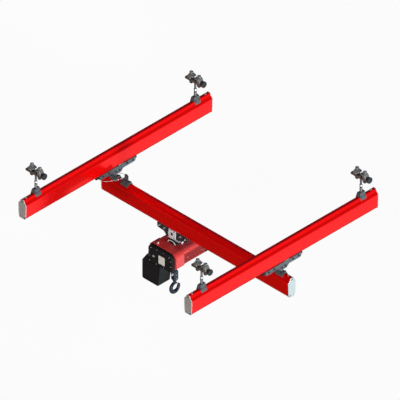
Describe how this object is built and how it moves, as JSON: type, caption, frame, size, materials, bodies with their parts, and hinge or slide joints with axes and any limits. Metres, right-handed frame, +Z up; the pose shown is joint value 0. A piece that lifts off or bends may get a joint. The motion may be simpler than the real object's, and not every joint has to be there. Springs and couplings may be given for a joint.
{
  "type": "suspended overhead bridge crane with an electric chain hoist",
  "caption": "Light suspended bridge crane: hollow red runway rails on rod hangers carry a bridge rail on end carriages, with a chain hoist on a trolley and a safety hook.",
  "frame": {"origin": "centre of the seat of the front left hanger, where the building's beam rests; the crane hangs below it", "axes": "+X along the bridge towards the right runway, +Y along the runways towards the back, +Z up"},
  "size_m": [2.318, 2.31, 1.494],
  "materials": {
    "rail_red": "glossy powder coat",
    "cap_grey": "moulded grey",
    "zinc": "zinc plated",
    "dark_zinc": "dull zinc plated",
    "wheel": "black nylon",
    "rubber": "moulded rubber",
    "rope": "bare wire rope",
    "dark_steel": "dark paint",
    "pin_steel": "bright plated",
    "hoist_red": "red powder coat on castings",
    "cover_black": "moulded black",
    "plate_buff": "blank plate",
    "hook_paint": "dark blue paint",
    "chain_steel": "zinc plated"
  },
  "bodies": {
    "runways": {"beam_claws_back_left": "dark_zinc", "beam_claws_back_right": "dark_zinc", "beam_claws_front_left": "dark_zinc", "beam_claws_front_right": "dark_zinc", "beam_plate_back_left": "dark_zinc", "beam_plate_back_right": "dark_zinc", "beam_plate_front_left": "dark_zinc", "beam_plate_front_right": "dark_zinc", "hanger_rods": "zinc", "rail_clamps": "zinc", "runway_end_caps": "cap_grey", "runway_end_stops": "zinc", "runway_left": "rail_red", "runway_right": "rail_red"},
    "bridge": {"bridge_clamp_left": "zinc", "bridge_clamp_right": "zinc", "bridge_end_caps": "cap_grey", "bridge_end_stops": "zinc", "bridge_girder": "rail_red", "bridge_hanger_left": "zinc", "bridge_hanger_right": "zinc", "carriage_beam_left": "zinc", "carriage_beam_right": "zinc", "carriage_buffers_left": "rubber", "carriage_buffers_right": "rubber", "carriage_trucks_left": "zinc", "carriage_trucks_right": "zinc", "carriage_wheels_left": "wheel", "carriage_wheels_right": "wheel", "rope_anchor_left": "zinc", "rope_anchor_right": "zinc", "safety_loop_left": "rope", "safety_loop_right": "rope", "safety_rope_left": "rope", "safety_rope_right": "rope"},
    "hoist_trolley": {"link_plate": "zinc", "suspension_pin": "pin_steel", "trolley_frame": "dark_steel", "trolley_wheels": "wheel"},
    "hoist": {"blank_plate": "plate_buff", "chain_container": "cover_black", "container_bracket": "zinc", "gear_cover": "cover_black", "gear_housing": "hoist_red", "motor_end_cover": "cover_black", "motor_housing": "hoist_red", "suspension_eye": "dark_steel"},
    "hook_block": {"hook_block": "hook_paint", "load_chain": "chain_steel"},
    "hook": {"hook": "hook_paint"},
    "latch": {"hook_latch": "pin_steel"}
  },
  "joints": [
    {"name": "bridge_travel", "type": "slide", "parent": "runways", "child": "bridge", "axis": [0, 1, 0], "range_m": [-0.78, 0.78]},
    {"name": "trolley_travel", "type": "slide", "parent": "bridge", "child": "hoist_trolley", "axis": [1, 0, 0], "range_m": [-0.51, 1.1]},
    {"name": "hoist_swing", "type": "hinge", "parent": "hoist_trolley", "child": "hoist", "pos_m": [0.731, 0.985, -0.847], "axis": [1, 0, 0], "range_deg": [-6, 6]},
    {"name": "hook_lift", "type": "slide", "parent": "hoist", "child": "hook_block", "axis": [0, 0, 1], "range_m": [-0.06, 0.03]},
    {"name": "hook_swivel", "type": "hinge", "parent": "hook_block", "child": "hook", "pos_m": [0.731, 0.985, -1.288], "axis": [0, 0, 1], "continuous": true},
    {"name": "latch_hinge", "type": "hinge", "parent": "hook", "child": "latch", "pos_m": [0.731, 1.005, -1.327], "axis": [1, 0, 0], "range_deg": [-40, 0], "stiffness_Nm_per_rad": 0.02, "springref_deg": 17.19}
  ]
}
